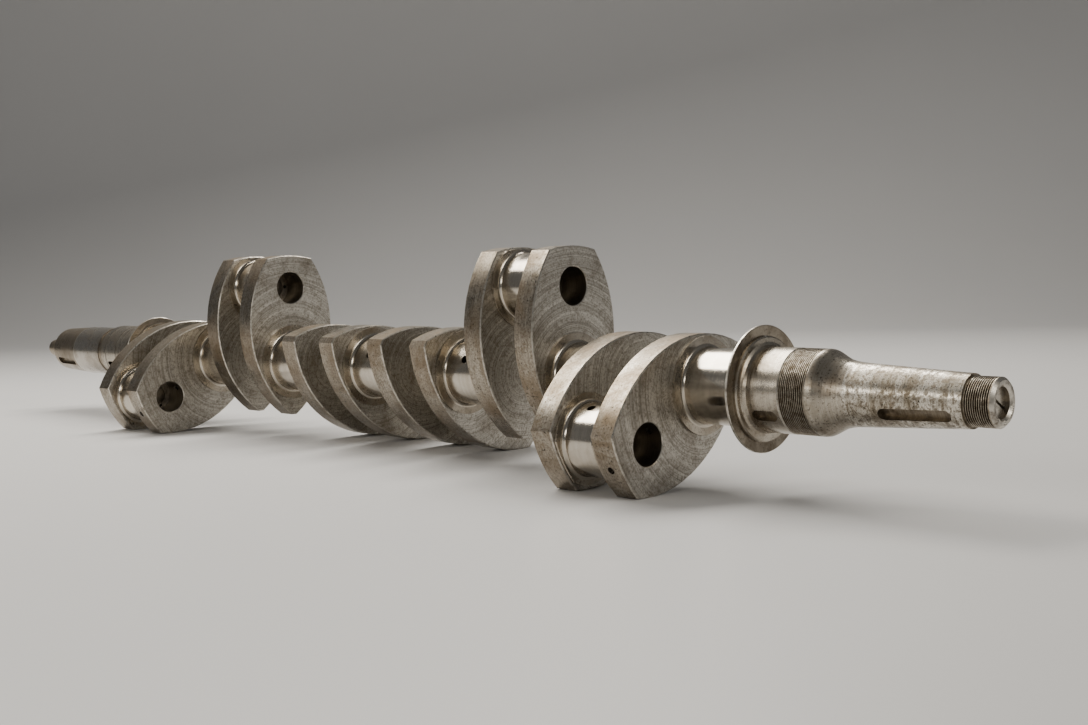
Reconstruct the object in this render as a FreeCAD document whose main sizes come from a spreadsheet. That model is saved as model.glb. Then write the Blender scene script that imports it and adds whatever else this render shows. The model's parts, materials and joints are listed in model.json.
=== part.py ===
import FreeCAD, Part
import math
import os

import Sketcher
from FreeCAD import Placement, Rotation, Vector

# Crankshaft of a long-stroke in-line six with seven main bearings.
# Millimetres. +X runs along the main axis towards the threaded nose, +Z is up as the shaft
# lies on the bench, and the origin is the middle of the fourth (centre) main journal.
# Angles are turned about +X from straight up, so a positive angle leans towards -Y.

DRIVING_SIZES = {
    # throws and webs
    "throw_radius": 50.0,
    "cylinder_pitch": 88.0,
    "web_thickness": 14.0,
    "pin_width": 26.0,
    "web_side_radius": 75.5,
    "web_side_along": 24.7,
    "web_half_width": 32.6,
    "web_end_radius": 71.8,
    "web_tip_along": 36.0,
    "web_chamfer": 0.6,
    # journals
    "main_radius": 19.0,
    "pin_radius": 18.5,
    "main_collar_radius": 24.8,
    "pin_collar_radius": 23.3,
    "collar_height": 1.5,
    "journal_fillet": 2.0,
    # crankpin bores and oilways
    "pin_bore_radius": 10.6,
    "bore_chamfer": 0.4,
    "drilling_radius": 2.0,
    "main_oil_radius": 2.4,
    "main_oil_angle": 62.0,
    "pin_oil_radius": 2.3,
    "pin_oil_angle": 94.0,
    "pin_oil_set_back": 2.0,
    "lock_hole_radius": 2.0,
    "lock_hole_overrun": 4.0,
    # crankpin plugs and their lock screws
    "front_plug_recess": 18.5,
    "rear_plug_recess": 10.0,
    "plug_thickness": 5.0,
    "plug_gap": 0.05,
    "dome_radius": 6.4,
    "dome_height": 1.2,
    "dome_root": 1.0,
    "spanner_hole_radius": 1.1,
    "spanner_hole_depth": 3.0,
    "spanner_circle_radius": 7.8,
    "lock_screw_recess": 2.0,
    "lock_screw_entry": 1.5,
    "hex_key_width": 2.0,
    "hex_key_depth": 2.2,
    # front oil thrower and its hub
    "front_hub_start": 33.0,
    "front_hub_end": 38.9,
    "front_hub_radius": 25.5,
    "front_hub_chamfer": 0.7,
    "front_hub_root": 2.0,
    "front_thrower_face": 37.4,
    "front_thrower_radius": 30.8,
    "thrower_width": 1.3,
    "thrower_dish": 0.4,
    "thrower_corner": 0.3,
    "thrower_gap": 0.03,
    # gear seat and locknut thread
    "seat_land_end": 42.6,
    "seat_land_radius": 20.8,
    "seat_end": 57.7,
    "seat_radius": 20.5,
    "seat_slot_start": 42.4,
    "seat_slot_end": 56.0,
    "seat_slot_width": 5.8,
    "seat_slot_depth": 3.2,
    "seat_slot_angle": 121.5,
    "lock_thread_start": 58.7,
    "lock_thread_pitch": 1.0,
    "lock_thread_turns": 13.0,
    "lock_thread_end": 71.9,
    "thread_groove_width": 0.8,
    "thread_groove_depth": 0.5,
    "lock_thread_radius": 20.4,
    # nose taper, keyway, thread and bore
    "flare_start": 74.4,
    "flare_base_radius": 20.4,
    "flare_end": 82.6,
    "flare_end_radius": 16.0,
    "taper_start": 88.5,
    "taper_large_radius": 14.8,
    "taper_end": 144.7,
    "taper_small_radius": 12.0,
    "taper_key_start": 105.3,
    "taper_key_end": 139.6,
    "key_width": 6.0,
    "taper_key_floor": 10.0,
    "key_angle": 120.0,
    "flare_shoulder_radius": 6.0,
    "flare_foot_radius": 20.0,
    "flare_toe_radius": 30.0,
    "nose_thread_radius": 11.0,
    "nose_thread_start": 145.2,
    "nose_thread_pitch": 1.0,
    "nose_thread_turns": 11.0,
    "nose_end": 158.2,
    "nose_end_chamfer": 1.4,
    "nose_bore_radius": 6.9,
    "nose_bore_flare": 1.1,
    "nose_bore_depth": 11.0,
    "stake_radius": 1.15,
    "stake_depth": 1.0,
    "stake_circle_radius": 8.05,
    "nose_gallery_radius": 4.0,
    "nose_gallery_end": 22.0,
    "nose_plug_recess": 3.0,
    "nose_plug_length": 6.5,
    "plug_slot_width": 1.3,
    "plug_slot_depth": 1.8,
    "plug_slot_angle": 150.0,
    # tail: thrower hub, ring lands, seat, taper and bore
    "tail_hub_start": 30.6,
    "tail_hub_end": 38.2,
    "tail_hub_radius": 23.4,
    "tail_thrower_face": 35.6,
    "tail_thrower_radius": 27.9,
    "tail_neck_end": 48.0,
    "tail_neck_radius": 19.6,
    "ring_land_radius": 20.7,
    "ring_land_end": 89.0,
    "ring_groove_first": 58.4,
    "ring_groove_second": 64.2,
    "ring_groove_third": 80.2,
    "ring_groove_width": 2.2,
    "ring_groove_radius": 18.0,
    "tail_undercut_end": 90.6,
    "tail_undercut_radius": 18.0,
    "tail_relief_radius": 18.4,
    "tail_seat_start": 98.0,
    "tail_seat_end": 138.0,
    "tail_seat_radius": 18.8,
    "tail_taper_start": 139.4,
    "tail_taper_radius": 18.6,
    "tail_taper_end": 182.0,
    "tail_taper_end_radius": 17.0,
    "tail_end_chamfer": 5.6,
    "tail_key_start": 142.5,
    "tail_key_end": 172.0,
    "tail_key_floor": 14.8,
    "tail_slot_start": 69.5,
    "tail_slot_end": 80.0,
    "tail_slot_width": 3.6,
    "tail_slot_depth": 3.0,
    "tail_slot_angle": 112.0,
    "tail_bore_radius": 5.1,
    "tail_bore_depth": 22.0,
    "spigot_radius": 7.0,
    "spigot_length": 28.0,
    "spigot_grip": 21.0,
    "spigot_shoulder_gap": 0.02,
    "spigot_nose_radius": 4.0,
    # seal rings
    "ring_outer_radius": 20.55,
    "ring_inner_radius": 18.4,
    "ring_side_gap": 0.1,
    "ring_split": 0.6,
}
THROW_ANGLES = [120.0, 0.0, 240.0, 240.0, 0.0, 120.0]
# where the nose bore's mouth is staked over to lock its plug
STAKE_ANGLES = [138.0, 182.0, 256.0]
# how far each pair of crankpin plugs was turned when it was tightened
PLUG_TURNS = [15.0, 70.0, 140.0, 35.0, 4.0, 170.0]


class Size:
    """A number together with the spreadsheet formula that gives it."""

    def __init__(self, value, formula):
        self.value = float(value)
        self.formula = formula

    def join(self, other, sign, value):
        return Size(value, "(%s %s %s)" % (self.formula, sign, other.formula))

    def __add__(self, other):
        other = as_size(other)
        return self.join(other, "+", self.value + other.value)

    def __sub__(self, other):
        other = as_size(other)
        return self.join(other, "-", self.value - other.value)

    def __mul__(self, other):
        other = as_size(other)
        return self.join(other, "*", self.value * other.value)

    def __truediv__(self, other):
        other = as_size(other)
        return self.join(other, "/", self.value / other.value)

    def __neg__(self):
        return as_size(0) - self


def as_size(number):
    return number if isinstance(number, Size) else Size(number, "%.6g" % number)


def dim(alias):
    return Size(DRIVING_SIZES[alias], "sizes." + alias)


def cosine(angle):
    angle = as_size(angle)
    return Size(math.cos(math.radians(angle.value)), "cos(%s * 1 deg)" % angle.formula)


def sine(angle):
    angle = as_size(angle)
    return Size(math.sin(math.radians(angle.value)), "sin(%s * 1 deg)" % angle.formula)


def arcsine(ratio):
    return Size(math.degrees(math.asin(ratio.value)), "asin(%s)" % ratio.formula)


def make_sheet(doc):
    sheet = doc.addObject("Spreadsheet::Sheet", "sizes")
    for row, (alias, value) in enumerate(DRIVING_SIZES.items(), start=1):
        sheet.set("A%d" % row, alias.replace("_", " "))
        sheet.set("B%d" % row, repr(value))
        sheet.setAlias("B%d" % row, alias)
    doc.recompute()
    return sheet


def bind(feature, formulas):
    for name, size in formulas.items():
        feature.setExpression(name, as_size(size).formula)


# ---------------------------------------------------------------- stations along the shaft

THROW_LENGTH = dim("web_thickness") * 2 + dim("pin_width")
FIRST_FACE = dim("cylinder_pitch") * 2.5 + THROW_LENGTH / 2
LAST_FACE = -FIRST_FACE
MAIN_LENGTH = dim("cylinder_pitch") - THROW_LENGTH
WEB_OFFSET = dim("web_side_radius") - dim("web_half_width")
# how far a journal reaches into the web it grows from
ROOT = 1.0


def front_face(throw):
    """X of the nose-side face of a throw's front web."""
    return FIRST_FACE - dim("cylinder_pitch") * throw


def ahead(alias):
    """A station ahead of the first web."""
    return FIRST_FACE + dim(alias)


def behind(alias):
    """A station behind the last web."""
    return LAST_FACE - dim(alias)


# ---------------------------------------------------------------- sketches and features

def origin_plane(body, role):
    return [item for item in body.Origin.OriginFeatures if item.Role == role][0]


def new_body(doc, label):
    body = doc.addObject("PartDesign::Body", label)
    body.Label = label
    body.AllowCompound = True
    return body


def add_feature(body, kind, name, formulas=None):
    feature = body.newObject("PartDesign::" + kind, name)
    feature.Refine = False
    bind(feature, formulas or {})
    return feature


def attach(feature, body, role, rotation=None):
    feature.AttachmentSupport = [(origin_plane(body, role), "")]
    feature.MapMode = "FlatFace"
    if rotation is not None:
        feature.AttachmentOffset = Placement(Vector(), rotation)


def offset(x=0, y=0, z=0):
    """Formulas that shift an attached feature in its own plane's directions."""
    base = "AttachmentOffset.Base."
    return {base + "x": x, base + "y": y, base + "z": z}


def new_sketch(body, name, role, rotation=None):
    sketch = body.newObject("Sketcher::SketchObject", name)
    attach(sketch, body, role, rotation)
    return sketch


def pin_distance(sketch, kind, edge, point, size):
    size = as_size(size)
    index = sketch.addConstraint(Sketcher.Constraint(kind, -1, 1, edge, point, size.value))
    sketch.setExpression("Constraints[%d]" % index, size.formula)


def pin_point(sketch, edge, point, x, y):
    """Hold one point of a sketch at a distance from the sketch's origin."""
    pin_distance(sketch, "DistanceX", edge, point, x)
    pin_distance(sketch, "DistanceY", edge, point, y)


def hold_radius(sketch, edge, radius):
    index = sketch.addConstraint(Sketcher.Constraint("Radius", edge, radius.value))
    sketch.setExpression("Constraints[%d]" % index, radius.formula)


def close_loop(sketch, first, last):
    """Join the edges first..last end to start."""
    joints = []
    for edge in range(first, last + 1):
        following = edge + 1 if edge < last else first
        joints.append(Sketcher.Constraint("Coincident", edge, 2, following, 1))
    sketch.addConstraint(joints)


def polygon(sketch, points):
    """A closed outline of straight edges, each corner held by its two formulas."""
    corners = [(as_size(x), as_size(y)) for x, y in points]
    places = [Vector(x.value, y.value, 0) for x, y in corners]
    following = places[1:] + places[:1]
    edges = [Part.LineSegment(start, end) for start, end in zip(places, following)]
    sketch.addGeometry(edges, False)
    close_loop(sketch, 0, len(edges) - 1)
    for edge, (x, y) in enumerate(corners):
        pin_point(sketch, edge, 1, x, y)


def revolve(body, name, points, kind="Revolution"):
    """Turn an (x, radius) outline about the body's X axis."""
    sketch = new_sketch(body, name + "_profile", "XZ_Plane")
    polygon(sketch, points)
    turned = add_feature(body, kind, name)
    turned.Profile = sketch
    turned.ReferenceAxis = (sketch, ["H_Axis"])
    turned.Angle = 360
    return turned


def bore(body, name, radius, length, x):
    """A round hole on the body's own X axis, from x towards +X."""
    feature = add_feature(body, "SubtractiveCylinder", name, {"Radius": radius, "Height": length})
    attach(feature, body, "YZ_Plane")
    bind(feature, offset(0, 0, x))
    return feature


def place(item, x, y, z, rotation):
    item.Placement = Placement(Vector(), rotation)
    bind(item, {"Placement.Base.x": x, "Placement.Base.y": y, "Placement.Base.z": z})


def rod(doc, name, radius, length, x, y=0, z=0, direction=Vector(1, 0, 0), turn=0):
    """A cylinder from a point, along +X unless another direction is given."""
    cylinder = doc.addObject("Part::Cylinder", name)
    bind(cylinder, {"Radius": radius, "Height": length})
    along = Rotation(Vector(0, 0, 1), direction)
    place(cylinder, x, y, z, Rotation(Vector(1, 0, 0), turn) * along)
    return cylinder


def slab(doc, name, outline, thickness, back, angle):
    """An outline in the plane across the shaft, turned to its throw and given a thickness."""
    sketch = doc.addObject("Sketcher::SketchObject", name + "_outline")
    across = Rotation(Vector(0, 1, 0), Vector(0, 0, 1), Vector(1, 0, 0), "ZXY")
    place(sketch, back, 0, 0, Rotation(Vector(1, 0, 0), angle) * across)
    outline(sketch)
    plate = doc.addObject("Part::Extrusion", name)
    plate.Base = sketch
    plate.DirMode = "Normal"
    plate.Solid = True
    bind(plate, {"LengthFwd": thickness})
    return plate


def slot(body, name, start, end, width, height, depth, angle):
    """A round-ended groove along X, cut inward from a plane at the given height."""
    turn = Rotation(Vector(1, 0, 0), angle.value)
    sketch = new_sketch(body, name + "_outline", "XY_Plane", turn)
    bind(sketch, offset(0, -(height * sine(angle)), height * cosine(angle)))
    half = width / 2
    left = start + half
    right = end - half
    low, high = -half.value, half.value
    quarter = math.pi / 2
    normal = Vector(0, 0, 1)
    right_end = Part.Circle(Vector(right.value, 0, 0), normal, high)
    left_end = Part.Circle(Vector(left.value, 0, 0), normal, high)
    sketch.addGeometry([
        Part.LineSegment(Vector(left.value, low, 0), Vector(right.value, low, 0)),
        Part.ArcOfCircle(right_end, -quarter, quarter),
        Part.LineSegment(Vector(right.value, high, 0), Vector(left.value, high, 0)),
        Part.ArcOfCircle(left_end, quarter, 3 * quarter),
    ], False)
    close_loop(sketch, 0, 3)
    pin_point(sketch, 0, 1, left, -half)
    pin_point(sketch, 0, 2, right, -half)
    pin_point(sketch, 2, 1, right, half)
    pin_point(sketch, 2, 2, left, half)
    pin_distance(sketch, "DistanceX", 1, 3, right)
    pin_distance(sketch, "DistanceX", 3, 3, left)
    pocket = add_feature(body, "Pocket", name)
    pocket.Profile = sketch
    bind(pocket, {"Length": depth})
    return pocket


def edges_where(shape, wanted):
    """Names of the edges that pass a test."""
    return ["Edge%d" % number for number, edge in enumerate(shape.Edges, start=1) if wanted(edge)]


def dress(doc, body, kind, name, wanted, formulas):
    """A fillet or chamfer on every edge of the body that passes a test."""
    doc.recompute()
    base = body.Tip
    feature = add_feature(body, kind, name, formulas)
    feature.Base = (base, edges_where(base.Shape, wanted))
    return feature


def is_circle(edge, radius, x):
    curve = edge.Curve
    if not isinstance(curve, Part.Circle):
        return False
    return abs(curve.Radius - radius) < 1e-4 and abs(curve.Center.x - x) < 1e-4


# ---------------------------------------------------------------- the crankshaft forging

def web_outline(sketch):
    """Almond-shaped web: two side arcs, an arc about the main axis, and a narrow flat tip."""
    side = dim("web_side_radius")
    along = dim("web_side_along")
    end = dim("web_end_radius")
    tip = dim("web_tip_along")
    centre_right = Vector(-WEB_OFFSET.value, along.value, 0)
    centre_left = Vector(WEB_OFFSET.value, along.value, 0)
    normal = Vector(0, 0, 1)

    # where the side arc meets the tip flat and the arc about the main axis
    tip_angle = math.asin((-tip.value - along.value) / side.value)
    tip_half_width = side.value * math.cos(tip_angle) - WEB_OFFSET.value
    span = math.hypot(WEB_OFFSET.value, along.value)
    reach = (end.value ** 2 - side.value ** 2 + span ** 2) / (2 * span)
    bearing = math.atan2(along.value, -WEB_OFFSET.value)
    corner_angle = bearing - math.acos(reach / end.value)
    corner = Vector(end.value * math.cos(corner_angle), end.value * math.sin(corner_angle), 0)
    side_top = math.atan2(corner.y - along.value, corner.x + WEB_OFFSET.value)

    right_arc = Part.ArcOfCircle(Part.Circle(centre_right, normal, side.value), tip_angle, side_top)
    top_arc = Part.Circle(Vector(), normal, end.value)
    top_arc = Part.ArcOfCircle(top_arc, corner_angle, math.pi - corner_angle)
    left_arc = Part.Circle(centre_left, normal, side.value)
    left_arc = Part.ArcOfCircle(left_arc, math.pi - side_top, math.pi - tip_angle)
    flat = Part.LineSegment(Vector(-tip_half_width, -tip.value, 0), Vector(tip_half_width, -tip.value, 0))
    sketch.addGeometry([right_arc, top_arc, left_arc, flat], False)
    close_loop(sketch, 0, 3)
    pin_point(sketch, 0, 3, -WEB_OFFSET, along)
    pin_point(sketch, 2, 3, WEB_OFFSET, along)
    sketch.addConstraint(Sketcher.Constraint("Coincident", 1, 3, -1, 1))
    for edge, radius in ((0, side), (1, end), (2, side)):
        hold_radius(sketch, edge, radius)
    sketch.addConstraint(Sketcher.Constraint("Horizontal", 3))
    pin_distance(sketch, "DistanceY", 3, 1, -tip)


def collar_outline(sketch):
    """The raised collar round a crankpin, turned off where it reaches the end of the web."""
    throw = dim("throw_radius")
    collar = dim("pin_collar_radius")
    limit = dim("web_end_radius") - dim("web_chamfer") - 0.4
    crossing_y = (throw.value ** 2 + limit.value ** 2 - collar.value ** 2) / (2 * throw.value)
    crossing_x = math.sqrt(limit.value ** 2 - crossing_y ** 2)
    round_start = math.atan2(crossing_y - throw.value, crossing_x)
    limit_start = math.atan2(crossing_y, crossing_x)
    normal = Vector(0, 0, 1)
    circle = Part.Circle(Vector(0, throw.value, 0), normal, collar.value)
    around = Part.ArcOfCircle(circle, math.pi - round_start, 2 * math.pi + round_start)
    turned = Part.ArcOfCircle(Part.Circle(Vector(), normal, limit.value), limit_start, math.pi - limit_start)
    sketch.addGeometry([around, turned], False)
    close_loop(sketch, 0, 1)
    pin_point(sketch, 0, 3, 0, throw)
    sketch.addConstraint(Sketcher.Constraint("Coincident", 1, 3, -1, 1))
    hold_radius(sketch, 0, collar)
    hold_radius(sketch, 1, limit)


def main_journal(doc, name, back):
    """A main journal between two webs, with a raised collar at each end."""
    collar = dim("main_collar_radius")
    height = dim("collar_height") + ROOT
    return [
        rod(doc, name + "_rear_collar", collar, height, back - ROOT),
        rod(doc, name, dim("main_radius"), MAIN_LENGTH, back),
        rod(doc, name + "_front_collar", collar, height, back + MAIN_LENGTH - dim("collar_height")),
    ]


def pin_centre(angle):
    """Y and Z of a crankpin's axis."""
    throw = dim("throw_radius")
    return -(throw * sine(angle)), throw * cosine(angle)


def throw_solids(doc, throw, angle):
    """One throw: front web, collared crankpin and rear web."""
    front = front_face(throw)
    web = dim("web_thickness")
    height = dim("collar_height") + ROOT
    name = "throw_%d" % (throw + 1)
    y, z = pin_centre(angle)
    back_of_pin = front - web - dim("pin_width")
    front_collar = front - web - dim("collar_height")
    return [
        slab(doc, name + "_front_web", web_outline, web, front - web, angle),
        slab(doc, name + "_front_collar", collar_outline, height, front_collar, angle),
        rod(doc, name + "_pin", dim("pin_radius"), dim("pin_width"), back_of_pin, y, z, turn=angle),
        slab(doc, name + "_rear_collar", collar_outline, height, back_of_pin - ROOT, angle),
        slab(doc, name + "_rear_web", web_outline, web, front - THROW_LENGTH, angle),
    ]


def add_nose(body):
    """Front main journal, thrower hub, gear seat, flare, taper and nose, in one turning."""
    hub = dim("front_hub_radius")
    hub_chamfer = dim("front_hub_chamfer")
    root = dim("front_hub_root")
    land = dim("seat_land_radius")
    bottom = dim("lock_thread_radius") - dim("thread_groove_depth")
    groove_end = ahead("lock_thread_end") + dim("thread_groove_width")
    points = [
        (FIRST_FACE - ROOT, 0),
        (FIRST_FACE - ROOT, dim("main_collar_radius")),
        (FIRST_FACE + dim("collar_height"), dim("main_collar_radius")),
        (FIRST_FACE + dim("collar_height"), dim("main_radius")),
        (ahead("front_hub_start"), dim("main_radius")),
        (ahead("front_hub_start"), hub),
        (ahead("front_hub_end") - hub_chamfer, hub),
        (ahead("front_hub_end"), hub - hub_chamfer),
        (ahead("front_hub_end"), land + root),
        (ahead("front_hub_end") + root * 0.3, land + root * 0.3),
        (ahead("front_hub_end") + root, land),
        (ahead("seat_land_end"), land),
        (ahead("seat_land_end"), dim("seat_radius")),
        (ahead("seat_end"), dim("seat_radius")),
        (ahead("seat_end") + dim("seat_radius") - bottom, bottom),
        (ahead("lock_thread_start"), bottom),
        (ahead("lock_thread_start"), dim("lock_thread_radius")),
        (ahead("lock_thread_end"), dim("lock_thread_radius")),
        (ahead("lock_thread_end"), bottom),
        (groove_end, bottom),
        (groove_end, dim("lock_thread_radius")),
        (ahead("flare_start"), dim("flare_base_radius")),
        (ahead("flare_end"), dim("flare_end_radius")),
        (ahead("taper_start"), dim("taper_large_radius")),
        (ahead("taper_end"), dim("taper_small_radius")),
        (ahead("taper_end"), dim("nose_thread_radius")),
        (ahead("nose_end") - dim("nose_end_chamfer"), dim("nose_thread_radius")),
        (ahead("nose_end"), dim("nose_thread_radius") - dim("nose_end_chamfer")),
        (ahead("nose_end"), 0),
    ]
    revolve(body, "nose", points)


def cut_thread(body, name, start, radius, pitch, turns):
    """A screw thread, as one vee groove repeated at the thread's pitch."""
    flat = pitch * 0.08
    root = radius - pitch * 0.61
    first = start + pitch / 2
    half = pitch * 0.42
    points = [
        (first - half, radius + 0.5),
        (first - half, radius),
        (first - flat, root),
        (first + flat, root),
        (first + half, radius),
        (first + half, radius + 0.5),
    ]
    groove = revolve(body, name, points, "Groove")
    pattern = add_feature(body, "LinearPattern", name + "_turns")
    pattern.Originals = [groove]
    axis = [item for item in body.Origin.OriginFeatures if item.Role == "X_Axis"][0]
    pattern.Direction = (axis, [""])
    bind(pattern, {"Length": pitch * (turns - 1), "Occurrences": turns})
    body.Tip = pattern


def add_tail(body):
    """Last main journal, thrower hub, ring lands, seat, taper and end, in one turning."""
    points = [
        (LAST_FACE + ROOT, 0),
        (LAST_FACE + ROOT, dim("main_collar_radius")),
        (LAST_FACE - dim("collar_height"), dim("main_collar_radius")),
        (LAST_FACE - dim("collar_height"), dim("main_radius")),
        (behind("tail_hub_start"), dim("main_radius")),
        (behind("tail_hub_start"), dim("tail_hub_radius")),
        (behind("tail_hub_end"), dim("tail_hub_radius")),
        (behind("tail_hub_end"), dim("tail_neck_radius")),
        (behind("tail_neck_end"), dim("tail_neck_radius")),
        (behind("tail_neck_end"), dim("ring_land_radius")),
    ]
    for number in ("first", "second", "third"):
        start = behind("ring_groove_" + number)
        points += [
            (start, dim("ring_land_radius")),
            (start, dim("ring_groove_radius")),
            (start - dim("ring_groove_width"), dim("ring_groove_radius")),
            (start - dim("ring_groove_width"), dim("ring_land_radius")),
        ]
    points += [
        (behind("ring_land_end"), dim("ring_land_radius")),
        (behind("ring_land_end"), dim("tail_undercut_radius")),
        (behind("tail_undercut_end"), dim("tail_undercut_radius")),
        (behind("tail_undercut_end"), dim("tail_relief_radius")),
        (behind("tail_seat_start"), dim("tail_relief_radius")),
        (behind("tail_seat_start"), dim("tail_seat_radius")),
        (behind("tail_seat_end"), dim("tail_seat_radius")),
        (behind("tail_taper_start"), dim("tail_taper_radius")),
        (behind("tail_taper_end") + dim("tail_end_chamfer"), dim("tail_taper_end_radius")),
        (behind("tail_taper_end"), dim("tail_taper_end_radius") - dim("tail_end_chamfer")),
        (behind("tail_taper_end"), 0),
    ]
    revolve(body, "tail", points)


def bore_mouth(doc, name, x, y, z, direction):
    """The small chamfer at one end of a crankpin bore."""
    chamfer = dim("bore_chamfer")
    cone = doc.addObject("Part::Cone", name)
    bind(cone, {"Radius1": dim("pin_bore_radius") + chamfer, "Radius2": dim("pin_bore_radius")})
    bind(cone, {"Height": chamfer})
    place(cone, x, y, z, Rotation(Vector(0, 0, 1), direction))
    return cone


def throw_drillings(doc, throw, angle):
    """The bore through one crankpin, and its oil hole, lock screw hole and oil feed."""
    front = front_face(throw)
    back = front - THROW_LENGTH
    name = "throw_%d" % (throw + 1)
    y, z = pin_centre(angle)
    middle = front - THROW_LENGTH / 2
    lock_station = front - dim("web_thickness") / 2
    outward = Rotation(Vector(1, 0, 0), angle).multVec(Vector(0, 0, 1))
    # the oil hole leaves the crankpin nearly square to the throw
    sideways = Rotation(Vector(1, 0, 0), angle - dim("pin_oil_angle").value).multVec(Vector(0, 0, 1))
    # the feed climbs from the middle of the next main journal, through the rear web, to the bore
    journal_middle = back - MAIN_LENGTH / 2
    web_front = back + dim("web_thickness")
    climb = dim("throw_radius") - dim("pin_radius") + dim("drilling_radius")
    feed = outward * climb.value + Vector((web_front - journal_middle).value, 0, 0)
    feed_length = feed.Length * 1.3
    mouth = Rotation(Vector(1, 0, 0), dim("main_oil_angle").value).multVec(Vector(0, 0, 1))
    return [
        rod(doc, name + "_bore", dim("pin_bore_radius"), THROW_LENGTH, back, y, z),
        bore_mouth(doc, name + "_front_mouth", front, y, z, Vector(-1, 0, 0)),
        bore_mouth(doc, name + "_rear_mouth", back, y, z, Vector(1, 0, 0)),
        rod(doc, name + "_oil_hole", dim("pin_oil_radius"), dim("pin_radius") + 1,
            middle - dim("pin_oil_set_back"), y, z, sideways),
        rod(doc, name + "_lock_hole", dim("lock_hole_radius"), dim("pin_radius") + 6,
            lock_station, y, z, outward),
        # the drill ran on across the bore into its far wall
        rod(doc, name + "_lock_hole_end", dim("lock_hole_radius"),
            dim("pin_bore_radius") + dim("lock_hole_overrun"), lock_station, y, z, -outward),
        rod(doc, name + "_feed", dim("drilling_radius"), feed_length, journal_middle, 0, 0, feed),
        rod(doc, name + "_feed_mouth", dim("main_oil_radius"), dim("main_radius") + 1,
            journal_middle, 0, 0, mouth),
    ]


def is_web_rim(edge):
    """True on the outline edges of a web, which lie in the plane of one of its faces."""
    stations = [vertex.X for vertex in edge.Vertexes]
    if len(stations) < 2 or abs(stations[0] - stations[1]) > 1e-4:
        return False
    web = dim("web_thickness").value
    faces = []
    for throw in range(len(THROW_ANGLES)):
        front = front_face(throw).value
        faces += [front, front - web, front - THROW_LENGTH.value + web, front - THROW_LENGTH.value]
    if min(abs(stations[0] - face) for face in faces) > 1e-4:
        return False
    if isinstance(edge.Curve, Part.Circle):
        outline = (dim("web_side_radius").value, dim("web_end_radius").value)
        return min(abs(edge.Curve.Radius - radius) for radius in outline) < 1e-4
    return edge.Length < 2 * dim("main_radius").value


def is_journal_root(edge):
    """True on the circles where a journal meets its collars."""
    collar = dim("collar_height").value
    web = dim("web_thickness").value
    main = dim("main_radius").value
    pin = dim("pin_radius").value
    if is_circle(edge, main, FIRST_FACE.value + collar):
        return True
    if is_circle(edge, main, LAST_FACE.value - collar):
        return True
    for throw in range(len(THROW_ANGLES)):
        front = front_face(throw).value
        back = front - THROW_LENGTH.value
        if is_circle(edge, main, front + collar) or is_circle(edge, main, back - collar):
            return True
        if is_circle(edge, pin, front - web - collar) or is_circle(edge, pin, back + web + collar):
            return True
    return False


def is_flare_shoulder(edge):
    return is_circle(edge, dim("flare_base_radius").value, ahead("flare_start").value)


def is_flare_foot(edge):
    return is_circle(edge, dim("flare_end_radius").value, ahead("flare_end").value)


def is_flare_toe(edge):
    return is_circle(edge, dim("taper_large_radius").value, ahead("taper_start").value)


def flare_mouth(body, name, small, large, depth, y, z):
    """A conical mouth sunk in the end of the nose."""
    cone = add_feature(body, "SubtractiveCone", name)
    bind(cone, {"Radius1": small, "Radius2": large, "Height": depth})
    attach(cone, body, "YZ_Plane")
    bind(cone, offset(y, z, ahead("nose_end") - depth))


def bore_nose(body):
    """The plug's bore, its flared mouth staked over in three places, and the oil gallery."""
    radius = dim("nose_bore_radius")
    depth = dim("nose_bore_depth")
    gallery_end = dim("nose_gallery_end")
    flare = dim("nose_bore_flare")
    bore(body, "nose_bore", radius, depth, ahead("nose_end") - depth)
    bore(body, "nose_gallery", dim("nose_gallery_radius"), dim("nose_end") - gallery_end,
         ahead("nose_gallery_end"))
    flare_mouth(body, "nose_mouth", radius, radius + flare, flare, 0, 0)
    reach = dim("stake_circle_radius")
    stake = dim("stake_radius")
    for number, angle in enumerate(STAKE_ANGLES, start=1):
        flare_mouth(body, "stake_%d" % number, stake / 4, stake, dim("stake_depth"),
                    -(reach * sine(angle)), reach * cosine(angle))


def make_nose(doc):
    body = new_body(doc, "nose_turning")
    add_nose(body)
    cut_thread(body, "lock_thread", ahead("lock_thread_start"), dim("lock_thread_radius"),
               dim("lock_thread_pitch"), dim("lock_thread_turns"))
    cut_thread(body, "nose_thread", ahead("nose_thread_start"), dim("nose_thread_radius"),
               dim("nose_thread_pitch"), dim("nose_thread_turns"))
    for name, wanted in (
        ("flare_shoulder", is_flare_shoulder),
        ("flare_foot", is_flare_foot),
        ("flare_toe", is_flare_toe),
    ):
        dress(doc, body, "Fillet", name, wanted, {"Radius": dim(name + "_radius")})
    bore_nose(body)
    slot(body, "seat_slot", ahead("seat_slot_start"), ahead("seat_slot_end"), dim("seat_slot_width"),
         dim("seat_land_radius") + 1, dim("seat_slot_depth") + 1, dim("seat_slot_angle"))
    slot(body, "taper_keyway", ahead("taper_key_start"), ahead("taper_key_end"), dim("key_width"),
         dim("taper_large_radius"), dim("taper_large_radius") - dim("taper_key_floor"), dim("key_angle"))
    return body


def make_tail(doc):
    body = new_body(doc, "tail_turning")
    add_tail(body)
    bore(body, "tail_bore", dim("tail_bore_radius"), dim("tail_bore_depth"), behind("tail_taper_end"))
    slot(body, "tail_keyway", behind("tail_key_end"), behind("tail_key_start"), dim("key_width"),
         dim("tail_seat_radius"), dim("tail_seat_radius") - dim("tail_key_floor"), dim("key_angle"))
    slot(body, "tail_slot", behind("tail_slot_end"), behind("tail_slot_start"), dim("tail_slot_width"),
         dim("ring_land_radius") + 1, dim("tail_slot_depth") + 1, dim("tail_slot_angle"))
    return body


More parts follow.
